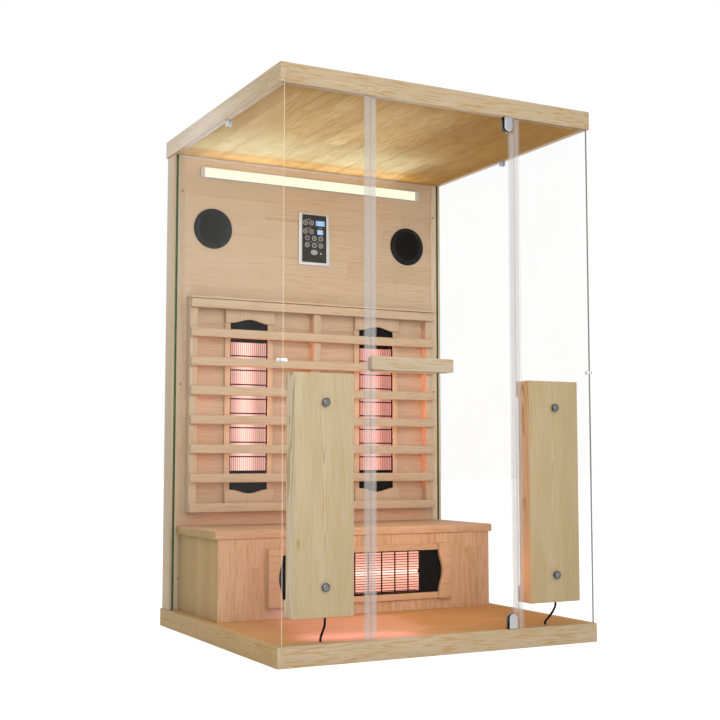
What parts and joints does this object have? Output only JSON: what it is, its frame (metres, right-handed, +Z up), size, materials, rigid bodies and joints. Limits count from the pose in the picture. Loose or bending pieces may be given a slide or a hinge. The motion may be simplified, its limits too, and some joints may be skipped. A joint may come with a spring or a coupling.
{
  "type": "infrared sauna cabin",
  "caption": "Infrared sauna cabin with pine base, roof and rear wall, glass front and sides, hinged glass door, bench, slatted backrest and glowing heaters.",
  "frame": {"origin": "middle of the cabin's box, on the floor that it stands on", "axes": "+Z up, front with the door towards -Y, +X to the right seen from the front"},
  "size_m": [1.2, 1.1146, 1.86],
  "materials": {
    "pine": "clear-sealed pale pine boards, satin",
    "inner_pine": "clear-sealed pine planks inside the cabin, satin, warmed by the heaters",
    "ceiling_pine": "clear-sealed pine ceiling, satin",
    "box_pine": "clear-sealed pine with visible grain, satin",
    "plain_panel": "plain unplaned board, matte",
    "glass": "clear toughened glass with green edges",
    "edge_profile": "translucent plastic",
    "satin_metal": "satin",
    "black_metal": "black, semi-matte",
    "heater_tube": "glowing",
    "light_housing": "satin",
    "light_diffuser": "milky, lit",
    "speaker": "matte black",
    "keypad": "smooth foil",
    "key": "matte",
    "power_unit": "grey enamel",
    "cord": "matte black"
  },
  "bodies": {
    "cabin": {"back_heater_left_frame": "inner_pine", "back_heater_left_pan": "black_metal", "back_heater_left_tube": "heater_tube", "back_heater_right_frame": "inner_pine", "back_heater_right_pan": "black_metal", "back_heater_right_tube": "heater_tube", "backrest_frame": "inner_pine", "backrest_slat_1": "inner_pine", "backrest_slat_2": "inner_pine", "backrest_slat_3": "inner_pine", "backrest_slat_4": "inner_pine", "backrest_slat_5": "inner_pine", "backrest_slat_6": "inner_pine", "base_front_board": "pine", "base_left_board": "pine", "base_right_board": "pine", "bench_box": "inner_pine", "bench_heater_frame": "inner_pine", "bench_heater_pan": "black_metal", "bench_heater_tube": "heater_tube", "bench_seat": "inner_pine", "ceiling_panel": "ceiling_pine", "control_frame": "satin_metal", "control_keypad": "keypad", "fixed_profile_left": "edge_profile", "fixed_profile_right": "edge_profile", "floor_panel": "inner_pine", "front_heater_left_cord": "cord", "front_heater_left_frame": "box_pine", "front_heater_left_pan": "black_metal", "front_heater_left_tube": "heater_tube", "front_heater_right_cord": "cord", "front_heater_right_frame": "box_pine", "front_heater_right_pan": "black_metal", "front_heater_right_tube": "heater_tube", "front_left_glass": "glass", "front_right_glass": "glass", "left_side_glass": "glass", "light_diffuser": "light_diffuser", "light_housing": "light_housing", "power_unit": "power_unit", "rear_panel": "plain_panel", "rear_post_left": "pine", "rear_post_right": "pine", "right_side_glass": "glass", "roof_cover": "plain_panel", "roof_front_board": "pine", "roof_left_board": "pine", "roof_right_board": "pine", "speaker_left": "speaker", "speaker_right": "speaker", "wall_panel": "inner_pine"},
    "door": {"door_glass": "glass", "door_profile_left": "edge_profile", "door_profile_right": "edge_profile", "door_hinge_bottom": "satin_metal", "door_hinge_top": "satin_metal", "door_handle_outer": "box_pine", "door_handle_inner": "box_pine"},
    "power_key": {"power_key": "key"}
  },
  "joints": [
    {"name": "door_hinge", "type": "hinge", "parent": "cabin", "child": "door", "pos_m": [0.252, -0.53275, 0.93], "axis": [0, 0, 1], "range_deg": [0, 105]},
    {"name": "power_key_press", "type": "slide", "parent": "cabin", "child": "power_key", "axis": [0, 1, 0], "range_m": [0, 0.001], "stiffness_N_per_m": 600}
  ]
}
